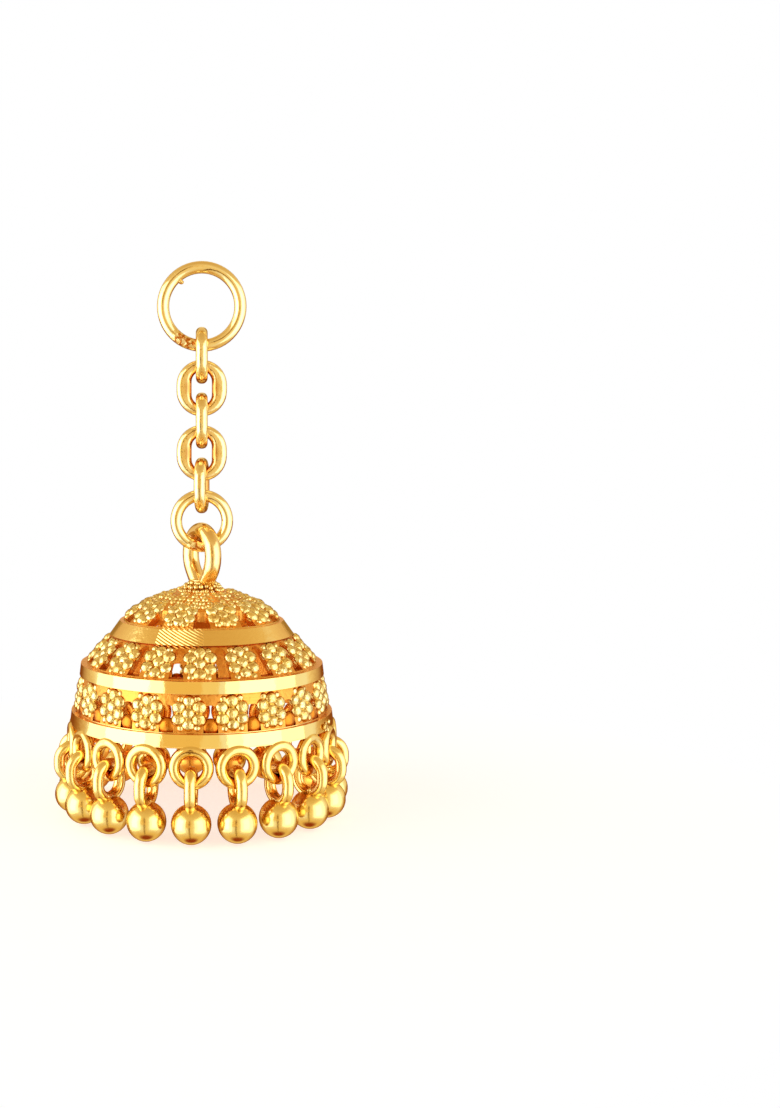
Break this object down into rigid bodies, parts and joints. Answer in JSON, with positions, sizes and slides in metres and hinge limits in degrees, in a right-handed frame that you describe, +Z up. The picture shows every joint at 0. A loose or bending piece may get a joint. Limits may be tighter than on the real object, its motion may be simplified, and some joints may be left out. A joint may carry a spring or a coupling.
{
  "type": "jhumka earring",
  "caption": "Drop earring: a wire ring and short link chain carry a hollow domed bell of pierced, granulated tiers and plain bands, fringed below with ball drops on wire eyes.",
  "frame": {"origin": "inside top of the top ring, where the earring hangs from an ear wire or hook", "axes": "+Z up along the hanging chain, +X to the right in the plane of the top ring, -Y the front"},
  "size_m": [0.0208, 0.0208, 0.0383],
  "materials": {
    "polished_gold": "polished yellow gold",
    "granulated_gold": "yellow gold sheet, granulated tiers and polished bands",
    "ball_gold": "bright polished yellow gold balls"
  },
  "bodies": {
    "chain": {"top_ring": "polished_gold", "chain_link_1": "polished_gold", "chain_link_2": "polished_gold", "chain_link_3": "polished_gold", "chain_link_4": "polished_gold", "chain_link_5": "polished_gold"},
    "jump_ring": {"jump_ring": "polished_gold"},
    "bell": {"bell": "granulated_gold", "drop_01": "ball_gold", "drop_02": "ball_gold", "drop_03": "ball_gold", "drop_04": "ball_gold", "drop_05": "ball_gold", "drop_06": "ball_gold", "drop_07": "ball_gold", "drop_08": "ball_gold", "drop_09": "ball_gold", "drop_10": "ball_gold", "drop_11": "ball_gold", "drop_12": "ball_gold", "drop_13": "ball_gold", "drop_14": "ball_gold", "drop_15": "ball_gold", "drop_16": "ball_gold", "drop_17": "ball_gold", "drop_18": "ball_gold", "drop_19": "ball_gold"}
  },
  "joints": [
    {"name": "jump_ring_swing", "type": "hinge", "parent": "chain", "child": "jump_ring", "pos_m": [0, 0, -0.01615], "axis": [0, 1, 0], "range_deg": [-60, 60]},
    {"name": "bell_swing", "type": "hinge", "parent": "jump_ring", "child": "bell", "pos_m": [0, 0, -0.01887], "axis": [1, 0, 0], "range_deg": [-60, 60]}
  ]
}
